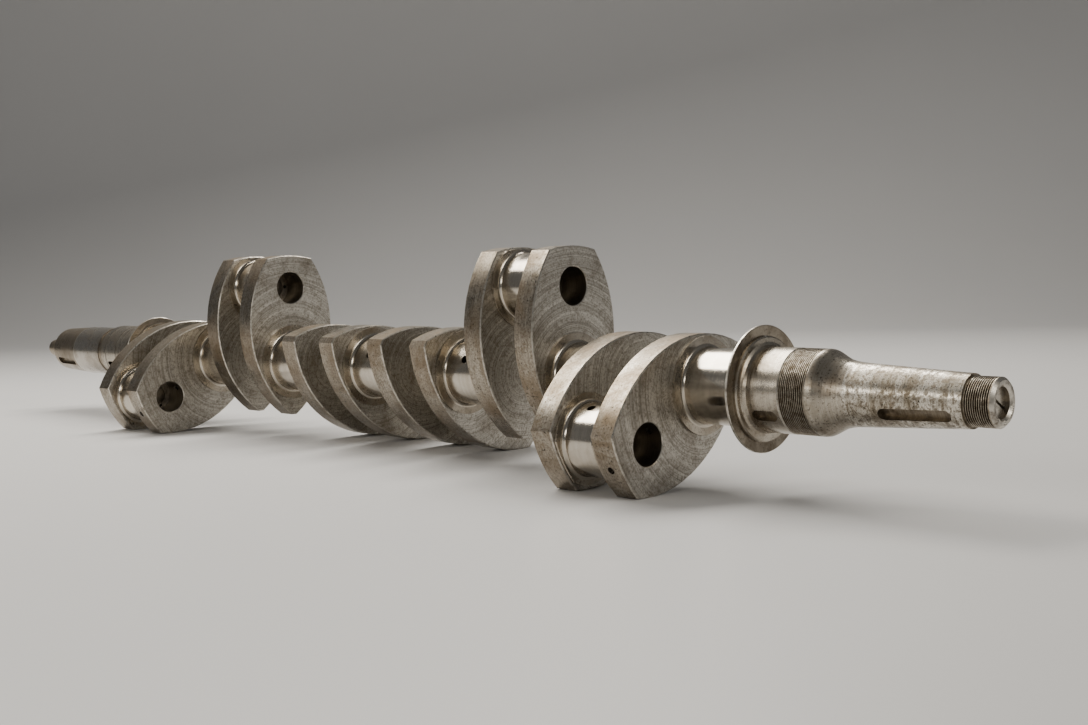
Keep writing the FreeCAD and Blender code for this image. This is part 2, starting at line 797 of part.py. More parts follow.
def make_crankshaft(doc):
    """The whole shaft, machined from one billet."""
    solids = [make_nose(doc), make_tail(doc)]
    drillings = []
    for throw, angle in enumerate(THROW_ANGLES):
        solids += throw_solids(doc, throw, angle)
        drillings += throw_drillings(doc, throw, angle)
        if throw < len(THROW_ANGLES) - 1:
            solids += main_journal(doc, "main_%d" % (throw + 2), front_face(throw + 1))
    billet = doc.addObject("Part::MultiFuse", "billet")
    billet.Shapes = solids
    billet.Refine = True
    doc.recompute()
    blank = new_body(doc, "blank")
    blank.BaseFeature = billet
    dress(doc, blank, "Chamfer", "web_edges", is_web_rim, {"Size": dim("web_chamfer")})
    dress(doc, blank, "Fillet", "journal_roots", is_journal_root, {"Radius": dim("journal_fillet")})
    holes = doc.addObject("Part::MultiFuse", "drillings")
    holes.Shapes = drillings
    crankshaft = doc.addObject("Part::Cut", "crankshaft")
    crankshaft.Base = blank
    crankshaft.Tool = holes
    return crankshaft


# ---------------------------------------------------------------- the fitted pieces

def fitted_body(doc, label, x, y=0, z=0, rotation=None):
    """A body with its own origin, set on the shaft. Its local +X points out of its seat."""
    body = new_body(doc, label)
    place(body, x, y, z, rotation or Rotation())
    return body


def cylinder(body, name, radius, length, x):
    feature = add_feature(body, "AdditiveCylinder", name, {"Radius": radius, "Height": length})
    attach(feature, body, "YZ_Plane")
    bind(feature, offset(0, 0, x))
    return feature


def make_thrower(doc, label, x, hub_radius, outer_radius, rotation):
    """An oil-thrower: a thin dished ring shrunk on its hub."""
    body = fitted_body(doc, label, x, rotation=rotation)
    inner = hub_radius + dim("thrower_gap")
    corner = dim("thrower_corner")
    back = -dim("thrower_width")
    points = [
        (back - dim("thrower_dish"), inner),
        (back, outer_radius - corner),
        (back + corner, outer_radius),
        (-corner, outer_radius),
        (0, outer_radius - corner),
        (-dim("thrower_dish"), inner),
    ]
    revolve(body, label + "_ring", points)
    return body


def make_pin_plug(doc, label, x, angle, rotation):
    """A screwed crankpin plug: a disc with a domed middle and two holes for a pin spanner."""
    y, z = pin_centre(angle)
    body = fitted_body(doc, label, x, y, z, rotation)
    radius = dim("pin_bore_radius") - dim("plug_gap")
    thickness = dim("plug_thickness")
    cylinder(body, label + "_disc", radius, thickness, -thickness)
    height = dim("dome_height")
    ball = (dim("dome_radius") * dim("dome_radius") + height * height) / (height * 2)
    # only the top of the ball, sunk a little way into the disc
    lowest = arcsine((ball - height - dim("dome_root")) / ball)
    dome = add_feature(body, "AdditiveSphere", label + "_dome", {"Radius": ball, "Angle1": lowest})
    attach(dome, body, "YZ_Plane")
    bind(dome, offset(0, 0, height - ball))
    depth = dim("spanner_hole_depth")
    for side in (-1, 1):
        hole = bore(body, label + "_spanner_hole", dim("spanner_hole_radius"), depth, 0)
        bind(hole, offset(dim("spanner_circle_radius") * side, 0, -depth))
    return body


def make_lock_screw(doc, label, throw, angle):
    """A grub screw down through the end of a front web, its tip in the bore ahead of the plug."""
    outer = dim("web_end_radius") - dim("lock_screw_recess")
    inner = dim("throw_radius") + dim("pin_bore_radius") - dim("lock_screw_entry")
    stand_up = Rotation(Vector(1, 0, 0), angle) * Rotation(Vector(0, 1, 0), -90)
    middle = front_face(throw) - dim("web_thickness") / 2
    body = fitted_body(doc, label, middle, -(outer * sine(angle)), outer * cosine(angle), stand_up)
    radius = dim("lock_hole_radius") - dim("plug_gap")
    cylinder(body, label + "_shank", radius, outer - inner, inner - outer)
    circumradius = dim("hex_key_width") / math.sqrt(3)
    depth = dim("hex_key_depth")
    socket = add_feature(body, "SubtractivePrism", label + "_socket")
    attach(socket, body, "YZ_Plane")
    bind(socket, {"Polygon": 6, "Circumradius": circumradius, "Height": depth})
    bind(socket, offset(0, 0, -depth))
    return body


def make_nose_plug(doc):
    """The slotted plug screwed into the end of the nose."""
    turn = Rotation(Vector(1, 0, 0), dim("plug_slot_angle").value)
    body = fitted_body(doc, "nose_plug", ahead("nose_end") - dim("nose_plug_recess"), rotation=turn)
    radius = dim("nose_bore_radius") - dim("plug_gap")
    length = dim("nose_plug_length")
    cylinder(body, "nose_plug_disc", radius, length, -length)
    width = dim("plug_slot_width")
    depth = dim("plug_slot_depth")
    cut = add_feature(body, "SubtractiveBox", "nose_plug_slot")
    attach(cut, body, "YZ_Plane")
    bind(cut, {"Length": radius * 2 + 2, "Width": width, "Height": depth})
    bind(cut, offset(-radius - 1, -(width / 2), -depth))
    return body


def make_tail_spigot(doc):
    """The round-nosed spigot, shouldered on the end of the tail and gripped in its bore."""
    body = fitted_body(doc, "tail_spigot", behind("tail_taper_end"))
    radius = dim("spigot_radius")
    length = dim("spigot_length")
    shank = length - dim("spigot_shoulder_gap")
    cylinder(body, "tail_spigot_shank", radius, shank, -length)
    grip_radius = dim("tail_bore_radius") - dim("plug_gap")
    cylinder(body, "tail_spigot_grip", grip_radius, dim("spigot_grip") + ROOT, -as_size(ROOT))

    def is_end(edge):
        return is_circle(edge, radius.value, -length.value)

    dress(doc, body, "Fillet", "tail_spigot_nose", is_end, {"Radius": dim("spigot_nose_radius")})
    return body


def make_seal_ring(doc, label, groove):
    """A split seal ring, free to turn in its groove."""
    width = dim("ring_groove_width")
    body = fitted_body(doc, label, behind(groove) - width / 2)
    half = width / 2 - dim("ring_side_gap")
    inner = dim("ring_inner_radius")
    outer = dim("ring_outer_radius")
    revolve(body, label + "_ring", [(-half, inner), (-half, outer), (half, outer), (half, inner)])
    split = dim("ring_split")
    cut = add_feature(body, "SubtractiveBox", label + "_split")
    attach(cut, body, "YZ_Plane")
    bind(cut, {"Length": split, "Width": outer, "Height": width})
    bind(cut, offset(-(split / 2), 1, -(width / 2)))
    return body


def make_fitted_pieces(doc):
    facing_front = Rotation()
    facing_rear = Rotation(Vector(0, 0, 1), 180)
    pieces = [
        make_thrower(doc, "front_oil_thrower", ahead("front_thrower_face"), dim("front_hub_radius"),
                     dim("front_thrower_radius"), facing_front),
        make_thrower(doc, "rear_oil_thrower", behind("tail_thrower_face"), dim("tail_hub_radius"),
                     dim("tail_thrower_radius"), facing_rear),
    ]
    for throw, angle in enumerate(THROW_ANGLES):
        turn = Rotation(Vector(1, 0, 0), angle + PLUG_TURNS[throw])
        front = front_face(throw) - dim("front_plug_recess")
        rear = front_face(throw) - THROW_LENGTH + dim("rear_plug_recess")
        number = throw + 1
        pieces += [
            make_pin_plug(doc, "pin_%d_front_plug" % number, front, angle, turn * facing_front),
            make_pin_plug(doc, "pin_%d_rear_plug" % number, rear, angle, turn * facing_rear),
            make_lock_screw(doc, "plug_lock_screw_%d" % number, throw, angle),
        ]
    pieces += [make_nose_plug(doc), make_tail_spigot(doc)]
    for number, groove in enumerate(("first", "second", "third"), start=1):
        pieces.append(make_seal_ring(doc, "seal_ring_%d" % number, "ring_groove_" + groove))
    return pieces


def write_parts(doc, pieces):
    os.makedirs("parts", exist_ok=True)
    for item in doc.Objects:
        if "Invalid" in item.State or "Error" in item.State:
            raise RuntimeError("%s failed: %s" % (item.Label, item.State))
    for piece in pieces:
        if piece.Shape.isNull() or not piece.Shape.isValid():
            raise RuntimeError("%s has no valid shape" % piece.Label)
    for piece in pieces:
        piece.Shape.exportStep("parts/%s.step" % piece.Label)
        box = piece.Shape.BoundBox
        print("%-24s %2d solid(s) %12.1f mm3  X %.1f..%.1f  Y %.1f..%.1f  Z %.1f..%.1f" % (
            piece.Label, len(piece.Shape.Solids), piece.Shape.Volume,
            box.XMin, box.XMax, box.YMin, box.YMax, box.ZMin, box.ZMax))


def main():
    doc = FreeCAD.newDocument("crankshaft")
    make_sheet(doc)
    pieces = [make_crankshaft(doc)] + make_fitted_pieces(doc)
    doc.recompute()
    write_parts(doc, pieces)


main()
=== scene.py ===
import json
import math

import bpy
from mathutils import Matrix, Vector


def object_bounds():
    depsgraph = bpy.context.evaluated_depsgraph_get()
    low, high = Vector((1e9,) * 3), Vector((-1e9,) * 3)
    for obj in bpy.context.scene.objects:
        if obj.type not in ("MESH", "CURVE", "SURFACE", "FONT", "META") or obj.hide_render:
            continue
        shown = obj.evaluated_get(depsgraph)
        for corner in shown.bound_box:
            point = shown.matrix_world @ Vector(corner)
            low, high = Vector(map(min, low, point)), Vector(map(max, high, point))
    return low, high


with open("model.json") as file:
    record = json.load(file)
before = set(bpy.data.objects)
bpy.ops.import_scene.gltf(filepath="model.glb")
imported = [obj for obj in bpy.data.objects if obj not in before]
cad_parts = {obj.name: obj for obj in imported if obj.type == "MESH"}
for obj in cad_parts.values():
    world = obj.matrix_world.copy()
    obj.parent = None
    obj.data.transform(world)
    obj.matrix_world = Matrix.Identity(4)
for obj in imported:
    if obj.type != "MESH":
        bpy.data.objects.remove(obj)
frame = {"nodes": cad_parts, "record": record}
cad_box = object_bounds()

MM = 0.001

# ---------------------------------------------------------------- the shaft's own stations, in mm

FIRST_WEB = 247.0
MAIN_RADIUS = 19.0
PIN_RADIUS = 18.5
PIN_HALF = 13.0
THROW_HALF = 27.0
THROW_RADIUS = 50.0
COLLAR = 1.5
FILLET = 2.1
BORE_RADIUS = 10.6
WALL_SLACK = 0.3
LOCK_HOLE_GAP = 20.0
LOCK_HOLE_REACH = 2.3
LOCK_HOLE_HALF = 2.2
WEB_END_RADIUS = 71.75

# ahead of the first web
HUB_START = 33.0
SEAT_SLOT_START = 42.3
SEAT_SLOT_FLOOR = 19.0
SEAT_END = 57.69
LOCK_THREAD_START = 58.4
LOCK_THREAD_END = 71.85
FLARE_START = 72.75
FLARE_END = 88.5
NOSE_TAPER_RADIUS = 14.8
NOSE_TAPER_SLOPE = 0.0498
NOSE_TAPER_END = 144.9
NOSE_BORE_RADIUS = 6.95
NOSE_BORE_LIT_FROM = 146.5
NOSE_FACE_RADIUS = 8.9
NOSE_CHAMFER_START = 156.7

# behind the last web
TAIL_HUB_START = 30.6
RING_LAND_START = 48.5
RING_LAND_RADIUS = 20.4
RING_LAND_END = 89.02
UNDERCUT_END = 90.7
TAIL_SEAT_START = 98.0
TAIL_SEAT_END = 138.05
TAIL_TAPER_START = 139.45
TAIL_TAPER_RADIUS = 18.6
TAIL_TAPER_SLOPE = 0.0432
TAIL_KEYWAY_END = 173.0

KEYWAY_DEPTH = 2.0


def mount(name):
    return next(m for m in frame["record"]["mounts"] if m["name"] == name)


PINS = [Vector(mount("crankpin_%d" % number)["pos_m"]) / MM for number in range(1, 7)]


# ---------------------------------------------------------------- materials

class Look:
    """One procedural material, with short calls for the nodes it is made of."""

    def __init__(self, name, metallic=1.0):
        self.material = bpy.data.materials.new(name)
        self.material.use_nodes = True
        self.tree = self.material.node_tree
        self.shader = self.tree.nodes["Principled BSDF"]
        self.shader.inputs["Metallic"].default_value = metallic
        place = self.node("ShaderNodeTexCoord").outputs["Object"]
        self.place = place
        parts = self.node("ShaderNodeSeparateXYZ", {"Vector": place}).outputs
        self.x, self.y, self.z = parts["X"], parts["Y"], parts["Z"]

    def node(self, kind, inputs=None, **settings):
        made = self.tree.nodes.new(kind)
        for name, value in settings.items():
            setattr(made, name, value)
        for name, value in (inputs or {}).items():
            self.feed(made.inputs[name], value)
        return made

    def feed(self, socket, value):
        if isinstance(value, bpy.types.NodeSocket):
            self.tree.links.new(value, socket)
        else:
            socket.default_value = value

    def sum(self, operation, a, b=0.0, c=0.0):
        made = self.tree.nodes.new("ShaderNodeMath")
        made.operation = operation
        for socket, value in zip(made.inputs, (a, b, c)):
            self.feed(socket, value)
        return made.outputs[0]

    def vector(self, x, y, z):
        return self.node("ShaderNodeCombineXYZ", {"X": x, "Y": y, "Z": z}).outputs[0]

    def scaled(self, x, y, z):
        """The surface point with each axis stretched by its own factor."""
        mapping = self.node("ShaderNodeMapping", {"Vector": self.place, "Scale": (x, y, z)})
        return mapping.outputs[0]

    def radius(self):
        """Distance from the shaft's main axis."""
        return self.sum("SQRT", self.sum("ADD", self.sum("MULTIPLY", self.y, self.y),
                                         self.sum("MULTIPLY", self.z, self.z)))

    def noise(self, where, scale, detail=4.0, roughness=0.55, distortion=0.0):
        made = self.node("ShaderNodeTexNoise", {
            "Vector": where, "Scale": scale, "Detail": detail,
            "Roughness": roughness, "Distortion": distortion})
        return made.outputs["Fac"]

    def level(self, value, low, high, out_low=0.0, out_high=1.0):
        """A value stretched from low..high to out_low..out_high, and held there."""
        made = self.node("ShaderNodeMapRange", {
            "Value": value, "From Min": low, "From Max": high,
            "To Min": out_low, "To Max": out_high})
        return made.outputs["Result"]

    def mix(self, factor, first, second):
        made = self.node("ShaderNodeMix", data_type="RGBA")
        self.feed(made.inputs["Factor"], factor)
        colours = [socket for socket in made.inputs if socket.type == "RGBA"]
        self.feed(colours[0], first)
        self.feed(colours[1], second)
        return [socket for socket in made.outputs if socket.type == "RGBA"][0]

    def set(self, name, value):
        self.feed(self.shader.inputs[name], value)

    def bump(self, height, distance, strength=1.0):
        made = self.node("ShaderNodeBump", {
            "Height": height, "Distance": distance, "Strength": strength})
        self.set("Normal", made.outputs["Normal"])


def rgb(red, green, blue):
    return (red, green, blue, 1.0)


STEEL_DARK = rgb(0.15, 0.125, 0.098)
# Near black for old oil in pits, and for painted shade inside holes and grooves.
OIL_AND_SHADE_BLACK = rgb(0.022, 0.017, 0.012)


def polished_journal():
    """Ground and lapped: fine lines round the journal, a thin oil film in patches."""
    look = Look("journal_polished")
    lines = look.noise(look.scaled(2600, 60, 60), 1.0, 3.0, 0.7)
    bands = look.noise(look.scaled(320, 8, 8), 1.0, 3.0, 0.6)
    film = look.level(look.noise(look.place, 55.0, 5.0, 0.6, 0.4), 0.46, 0.72)
    colour = look.mix(look.level(bands, 0.35, 0.7), rgb(0.50, 0.455, 0.385), rgb(0.60, 0.555, 0.48))
    colour = look.mix(look.sum("MULTIPLY", film, 0.5), colour, rgb(0.30, 0.235, 0.16))
    look.set("Base Color", colour)
    rough = look.level(lines, 0.3, 0.75, 0.11, 0.21)
    look.set("Roughness", look.sum("ADD", rough, look.sum("MULTIPLY", film, 0.12)))
    look.bump(lines, 0.0000025)
    return look.material


def web_face():
    """Faced on the lathe: fine arcs round the main axis under a speckled brown patina."""
    look = Look("web_face_machined")
    radius = look.radius()
    arcs = look.noise(look.vector(look.sum("MULTIPLY", radius, 1700), look.sum("MULTIPLY", look.y, 14),
                                  look.sum("MULTIPLY", look.z, 14)), 1.0, 4.0, 0.72)
    wide = look.noise(look.vector(look.sum("MULTIPLY", radius, 520), look.sum("MULTIPLY", look.y, 7),
                                  look.sum("MULTIPLY", look.z, 7)), 1.0, 3.0, 0.6)
    speckle = look.noise(look.place, 900.0, 6.0, 0.74, 0.2)
    mottle = look.noise(look.place, 300.0, 6.0, 0.7, 0.4)
    patch = look.noise(look.place, 38.0, 5.0, 0.6, 0.5)
    colour = look.mix(look.level(arcs, 0.36, 0.62), rgb(0.29, 0.267, 0.23), rgb(0.62, 0.59, 0.53))
    colour = look.mix(look.level(wide, 0.50, 0.62, 0.0, 0.6), colour, rgb(0.72, 0.69, 0.63))
    colour = look.mix(look.level(speckle, 0.50, 0.60, 0.0, 0.62), colour, rgb(0.155, 0.135, 0.108))
    colour = look.mix(look.level(mottle, 0.50, 0.62, 0.0, 0.55), colour, rgb(0.205, 0.178, 0.14))
    colour = look.mix(look.level(patch, 0.50, 0.70, 0.0, 0.55), colour, rgb(0.15, 0.12, 0.085))
    look.set("Base Color", colour)
    rough = look.level(speckle, 0.35, 0.65, 0.32, 0.50)
    look.set("Roughness", look.sum("ADD", rough, look.level(arcs, 0.3, 0.7, -0.04, 0.05)))
    height = look.sum("ADD", arcs, look.sum("MULTIPLY", speckle, 0.7))
    look.bump(height, 0.000035)
    return look.material


def web_rim():
    """Ground round the outline: long fine scratches, brown oil staining and small dark pits."""
    look = Look("web_rim_ground")
    lines = look.noise(look.scaled(1500, 45, 45), 1.0, 4.0, 0.7)
    stain = look.noise(look.scaled(34, 30, 30), 1.0, 5.0, 0.62, 0.6)
    mottle = look.noise(look.place, 330.0, 6.0, 0.7, 0.3)
    speckle = look.noise(look.place, 850.0, 5.0, 0.7)
    pits = look.noise(look.place, 950.0, 2.0, 0.5)
    colour = look.mix(look.level(lines, 0.34, 0.68), rgb(0.25, 0.222, 0.18), rgb(0.44, 0.402, 0.34))
    colour = look.mix(look.level(stain, 0.42, 0.62, 0.0, 0.8), colour, rgb(0.17, 0.122, 0.073))
    colour = look.mix(look.level(speckle, 0.47, 0.60, 0.0, 0.7), colour, rgb(0.135, 0.105, 0.072))
    colour = look.mix(look.level(mottle, 0.50, 0.66, 0.0, 0.6), colour, rgb(0.14, 0.105, 0.065))
    colour = look.mix(look.level(pits, 0.63, 0.69, 0.0, 0.9), colour, OIL_AND_SHADE_BLACK)
    look.set("Base Color", colour)
    rough = look.level(stain, 0.35, 0.7, 0.25, 0.44)
    look.set("Roughness", look.sum("ADD", rough, look.level(lines, 0.3, 0.7, -0.03, 0.05)))
    look.bump(look.sum("ADD", lines, look.sum("MULTIPLY", mottle, 0.5)), 0.00002)
    return look.material


def bright_edge():
    """Chamfers rubbed bright."""
    look = Look("edge_rubbed")
    wear = look.noise(look.place, 260.0, 5.0, 0.65)
    look.set("Base Color", look.mix(look.level(wear, 0.45, 0.7), rgb(0.58, 0.545, 0.48), STEEL_DARK))
    look.set("Roughness", look.level(wear, 0.35, 0.7, 0.26, 0.42))
    return look.material


def turned():
    """Collars, hubs and seats: clean turning marks with a light film of oil."""
    look = Look("turned_steel")
    lines = look.noise(look.scaled(2200, 30, 30), 1.0, 4.0, 0.7)
    rings = look.noise(look.vector(look.sum("MULTIPLY", look.radius(), 2200), 0.0, 0.0), 1.0, 4.0, 0.7)
    film = look.noise(look.place, 60.0, 5.0, 0.62, 0.4)
    mottle = look.noise(look.place, 600.0, 5.0, 0.68)
    colour = look.mix(look.level(lines, 0.35, 0.7), rgb(0.38, 0.34, 0.28), rgb(0.56, 0.515, 0.44))
    colour = look.mix(look.level(film, 0.44, 0.68, 0.0, 0.65), colour, rgb(0.20, 0.15, 0.095))
    colour = look.mix(look.level(mottle, 0.52, 0.66, 0.0, 0.6), colour, STEEL_DARK)
    look.set("Base Color", colour)
    look.set("Roughness", look.level(film, 0.35, 0.7, 0.2, 0.36))
    look.bump(look.sum("ADD", lines, rings), 0.000006)
    return look.material


def ground_seat():
    """The tail seat, kept bright by the hub that fitted it."""
    look = Look("seat_ground")
    lines = look.noise(look.scaled(2400, 40, 40), 1.0, 3.0, 0.7)
    film = look.noise(look.place, 70.0, 5.0, 0.62, 0.4)
    colour = look.mix(look.level(lines, 0.35, 0.7), rgb(0.40, 0.37, 0.325), rgb(0.54, 0.505, 0.45))
    colour = look.mix(look.level(film, 0.44, 0.66, 0.0, 0.7), colour, rgb(0.21, 0.168, 0.118))
    look.set("Base Color", colour)
    look.set("Roughness", look.level(film, 0.35, 0.7, 0.2, 0.34))
    look.bump(lines, 0.000004)
    return look.material


def tail_patina():
    """The tail cone: an even brown film with turning marks showing through."""
    look = Look("tail_cone_patina")
    lines = look.noise(look.scaled(1900, 30, 30), 1.0, 4.0, 0.7)
    film = look.noise(look.place, 75.0, 5.0, 0.62, 0.5)
    mottle = look.noise(look.place, 520.0, 6.0, 0.7)
    colour = look.mix(look.level(lines, 0.35, 0.7), rgb(0.22, 0.18, 0.13), rgb(0.33, 0.28, 0.215))
    colour = look.mix(look.level(film, 0.48, 0.7, 0.0, 0.6), colour, rgb(0.13, 0.095, 0.06))
    colour = look.mix(look.level(mottle, 0.52, 0.68, 0.0, 0.5), colour, rgb(0.45, 0.40, 0.32))
    look.set("Base Color", colour)
    look.set("Roughness", look.level(film, 0.35, 0.7, 0.26, 0.4))
    look.bump(look.sum("ADD", lines, mottle), 0.00001)
    return look.material


def nose_patina():
    """The nose cone: worn by many hubs, lacy fretting over bright and brown rings, with pits."""
    look = Look("nose_cone_worn")
    rings = look.noise(look.scaled(150, 28, 28), 1.0, 6.0, 0.72, 0.4)
    fretting = look.noise(look.scaled(560, 420, 420), 1.0, 8.0, 0.78, 0.25)
    patch = look.noise(look.place, 46.0, 5.0, 0.62, 0.8)
    pits = look.noise(look.place, 1050.0, 3.0, 0.6)
    colour = look.mix(look.level(rings, 0.42, 0.60), rgb(0.62, 0.58, 0.505), rgb(0.27, 0.235, 0.18))
    colour = look.mix(look.level(fretting, 0.47, 0.56, 0.0, 0.85), colour, rgb(0.12, 0.094, 0.064))
    colour = look.mix(look.level(patch, 0.50, 0.66, 0.0, 0.7), colour, rgb(0.17, 0.13, 0.085))
    colour = look.mix(look.level(pits, 0.60, 0.67, 0.0, 0.85), colour, OIL_AND_SHADE_BLACK)
    look.set("Base Color", colour)
    look.set("Roughness", look.level(fretting, 0.38, 0.62, 0.22, 0.46))
    look.bump(look.sum("SUBTRACT", look.sum("MULTIPLY", rings, 0.5), fretting), 0.00004)
    return look.material


def flare_worn():
    """The flare behind the nose cone: smooth and grey-brown, freckled with fine pits."""
    look = Look("flare_pitted")
    lines = look.noise(look.scaled(1500, 30, 30), 1.0, 4.0, 0.7)
    stain = look.noise(look.place, 70.0, 6.0, 0.68, 0.6)
    pits = look.noise(look.place, 900.0, 4.0, 0.65)
    colour = look.mix(look.level(lines, 0.35, 0.68), rgb(0.33, 0.295, 0.24), rgb(0.48, 0.44, 0.375))
    colour = look.mix(look.level(stain, 0.44, 0.64, 0.0, 0.75), colour, rgb(0.185, 0.145, 0.10))
    colour = look.mix(look.level(pits, 0.56, 0.64, 0.0, 0.85), colour, rgb(0.07, 0.055, 0.038))
    look.set("Base Color", colour)
    look.set("Roughness", look.level(stain, 0.35, 0.7, 0.24, 0.42))
    look.bump(look.sum("SUBTRACT", look.sum("MULTIPLY", lines, 0.2), pits), 0.00003)
    return look.material


def thread_oil_and_root_shade(name, crest):
    """A thread: crests rubbed brown, roots painted near black as old oil together with painted shade in
    the grooves. crest is its radius in metres.
    """
    look = Look(name)
    mottle = look.noise(look.place, 350.0, 5.0, 0.65)
    worn = look.mix(look.level(mottle, 0.42, 0.66), rgb(0.42, 0.375, 0.305), rgb(0.16, 0.125, 0.085))
    # The roots, below the crests, are painted near black: painted shade in the thread grooves, with old
    # oil.
    top = look.level(look.radius(), crest - 0.00034, crest - 0.00006)
    look.set("Base Color", look.mix(top, rgb(0.035, 0.026, 0.018), worn))
    look.set("Roughness", look.level(mottle, 0.35, 0.7, 0.28, 0.46))
    look.bump(mottle, 0.00003)
    return look.material


def bore_oil_and_shade():
    """Insides of holes, oilways and ring grooves, and the deep part of the nose bore: painted near
    black, old oil together with painted shade in the recesses.
    """
    look = Look("bore_oil_and_painted_shade")
    film = look.noise(look.place, 180.0, 5.0, 0.6)
    look.set("Base Color", look.mix(look.level(film, 0.4, 0.7), rgb(0.115, 0.092, 0.066), OIL_AND_SHADE_BLACK))
    look.set("Roughness", look.level(film, 0.35, 0.7, 0.34, 0.55))
    look.bump(film, 0.00003)
    return look.material


def pin_bore():
    """The wall of a crankpin bore: reamed smooth, brown with oil."""
    look = Look("pin_bore_reamed")
    lines = look.noise(look.scaled(1600, 60, 60), 1.0, 3.0, 0.7)
    film = look.noise(look.place, 90.0, 5.0, 0.62, 0.4)
    colour = look.mix(look.level(lines, 0.35, 0.7), rgb(0.205, 0.178, 0.14), rgb(0.30, 0.265, 0.213))
    colour = look.mix(look.level(film, 0.46, 0.68, 0.0, 0.6), colour, rgb(0.12, 0.096, 0.066))
    look.set("Base Color", colour)
    look.set("Roughness", look.level(film, 0.35, 0.7, 0.30, 0.42))
    look.bump(lines, 0.000006)
    return look.material


def thrower_disc():
    """The throwers' faces: turned in rings, brown with burnt-on oil."""
    look = Look("thrower_face_browned")
    rings = look.noise(look.vector(look.sum("MULTIPLY", look.radius(), 1800), 0.0, 0.0), 1.0, 4.0, 0.7)
    film = look.noise(look.place, 85.0, 6.0, 0.66, 0.5)
    spots = look.noise(look.place, 620.0, 5.0, 0.7)
    colour = look.mix(look.level(rings, 0.35, 0.68), rgb(0.27, 0.232, 0.18), rgb(0.40, 0.355, 0.29))
    colour = look.mix(look.level(film, 0.45, 0.66, 0.0, 0.75), colour, rgb(0.13, 0.098, 0.062))
    colour = look.mix(look.level(spots, 0.54, 0.66, 0.0, 0.7), colour, rgb(0.075, 0.055, 0.036))
    look.set("Base Color", colour)
    look.set("Roughness", look.level(film, 0.35, 0.7, 0.28, 0.44))
    look.bump(look.sum("ADD", rings, spots), 0.00001)
    return look.material


def stained_slot():
    """Slots and keyways: milled, brown with old oil."""
    look = Look("slot_stained")
    film = look.noise(look.place, 200.0, 5.0, 0.62)
    marks = look.noise(look.scaled(1400, 200, 200), 1.0, 4.0, 0.7)
    colour = look.mix(look.level(marks, 0.4, 0.65), rgb(0.20, 0.165, 0.12), rgb(0.29, 0.25, 0.195))
    colour = look.mix(look.level(film, 0.45, 0.66, 0.0, 0.75), colour, rgb(0.07, 0.052, 0.034))
    look.set("Base Color", colour)
    look.set("Roughness", look.level(film, 0.35, 0.7, 0.34, 0.52))
    look.bump(marks, 0.00001)
    return look.material


def small_piece(name, base, gloss):
    """A small fitted piece, turned and oil-darkened. gloss is its least roughness."""
    look = Look(name)
    rings = look.noise(look.place, 1400.0, 3.0, 0.6)
    film = look.noise(look.place, 220.0, 5.0, 0.62)
    dark = rgb(base[0] * 0.4, base[1] * 0.38, base[2] * 0.36)
    look.set("Base Color", look.mix(look.level(film, 0.4, 0.68), base, dark))
    look.set("Roughness", look.level(film, 0.35, 0.7, gloss, gloss + 0.18))
    look.bump(rings, 0.00001)
    return look.material


def ring_iron():
    """Seal rings: grey iron, ground on the rim."""
    look = Look("ring_iron")
    lines = look.noise(look.scaled(3000, 40, 40), 1.0, 3.0, 0.7)
    film = look.noise(look.place, 150.0, 5.0, 0.6)
    colour = look.mix(look.level(film, 0.42, 0.7), rgb(0.36, 0.33, 0.28), rgb(0.15, 0.12, 0.085))
    look.set("Base Color", colour)
    look.set("Roughness", look.level(lines, 0.3, 0.7, 0.3, 0.44))
    look.bump(lines, 0.000006)
    return look.material


LOOKS = {
    "journal": polished_journal(),
    "face": web_face(),
    "rim": web_rim(),
    "edge": bright_edge(),
    "turned": turned(),
    "nose": nose_patina(),
    "flare": flare_worn(),
    "seat": ground_seat(),
    "tail": tail_patina(),
    "lock_thread": thread_oil_and_root_shade("lock_thread_oil_and_root_shade", 0.0204),
    "nose_thread": thread_oil_and_root_shade("nose_thread_oil_and_root_shade", 0.011),
    "bore": bore_oil_and_shade(),
    "pin_bore": pin_bore(),
    "slot": stained_slot(),
}


# ---------------------------------------------------------------- which look each face takes

def throw_region(x, y, z, across):
    """Webs, crankpins and the main journals between them. across is the normal's share along X."""
    pin = min(PINS, key=lambda centre: abs(x - centre.x))
    gap = abs(x - pin.x)
    radius = math.hypot(y, z)
    from_pin = math.hypot(y - pin.y, z - pin.z)
    if from_pin < BORE_RADIUS + 0.5 and gap > PIN_HALF and across < 0.9:
        return "edge" if across > 0.5 else "pin_bore"
    if gap < PIN_HALF:
        if gap > PIN_HALF - COLLAR - 0.1 and from_pin > PIN_RADIUS + FILLET:
            return "turned"
        if from_pin < BORE_RADIUS + 0.2:
            return "pin_bore"
        # Oil holes through the pin wall are painted near black: painted shade in the holes, with oil.
        return "bore" if from_pin < PIN_RADIUS - WALL_SLACK else "journal"
    if gap > THROW_HALF + 0.05:
        return main_journal_region(gap - THROW_HALF, radius)
    if across > 0.95:
        return "face"
    if across > 0.4:
        return "edge"
    outward = (pin.y * y + pin.z * z) / math.hypot(pin.y, pin.z)
    sideways = math.sqrt(max(0.0, radius * radius - outward * outward))
    beside_hole = sideways < LOCK_HOLE_REACH and abs(gap - LOCK_HOLE_GAP) < LOCK_HOLE_HALF
    in_hole = beside_hole and outward > THROW_RADIUS and across > 0.02 and radius < WEB_END_RADIUS
    # The drilled hole in the web end is painted near black: painted shade in the hole, with oil.
    return "bore" if in_hole else "rim"


def main_journal_region(x, radius):
    """A main journal with its collar. x is the distance from the web's face."""
    if x < COLLAR + 0.1 and radius > MAIN_RADIUS + FILLET:
        return "turned"
    # Holes inside the journal are painted near black: painted shade in the holes, with oil.
    return "bore" if radius < MAIN_RADIUS - WALL_SLACK else "journal"


def in_slot(radius, floor, outward):
    """True on the walls and floor of a slot. outward is the normal's share away from the axis."""
    return outward < 0.8 or radius < floor


